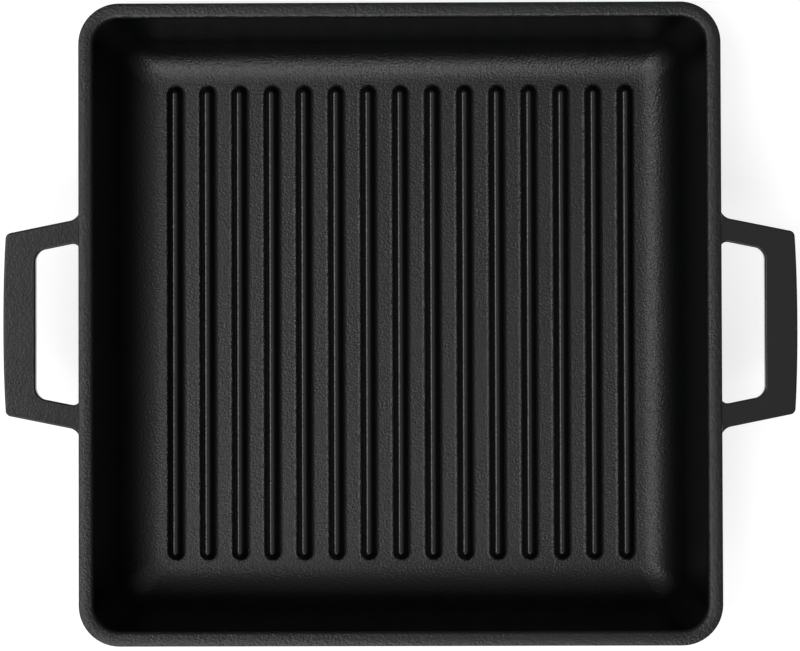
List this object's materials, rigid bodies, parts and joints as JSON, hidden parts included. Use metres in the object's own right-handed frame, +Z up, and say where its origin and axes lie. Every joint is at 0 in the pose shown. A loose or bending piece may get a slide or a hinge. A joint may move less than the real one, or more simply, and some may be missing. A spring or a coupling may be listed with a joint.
{
  "type": "grill pan",
  "caption": "Square cast-iron grill pan with straight raised ribs on a flat floor, leaning walls, a plain flat rim and loop handles on opposite sides.",
  "frame": {"origin": "middle of the flat underside, on the surface that the pan stands on", "axes": "+X through the right-hand handle, +Y along the ribs towards the far wall, +Z up"},
  "size_m": [0.3382, 0.2726, 0.05],
  "materials": {
    "enamelled_iron": "satin black enamel over cast iron, fine orange-peel texture"
  },
  "bodies": {
    "root": {"pan_body": "enamelled_iron", "handle_left": "enamelled_iron", "handle_right": "enamelled_iron", "rib_01": "enamelled_iron", "rib_02": "enamelled_iron", "rib_03": "enamelled_iron", "rib_04": "enamelled_iron", "rib_05": "enamelled_iron", "rib_06": "enamelled_iron", "rib_07": "enamelled_iron", "rib_08": "enamelled_iron", "rib_09": "enamelled_iron", "rib_10": "enamelled_iron", "rib_11": "enamelled_iron", "rib_12": "enamelled_iron", "rib_13": "enamelled_iron", "rib_14": "enamelled_iron", "rib_15": "enamelled_iron"}
  },
  "joints": []
}
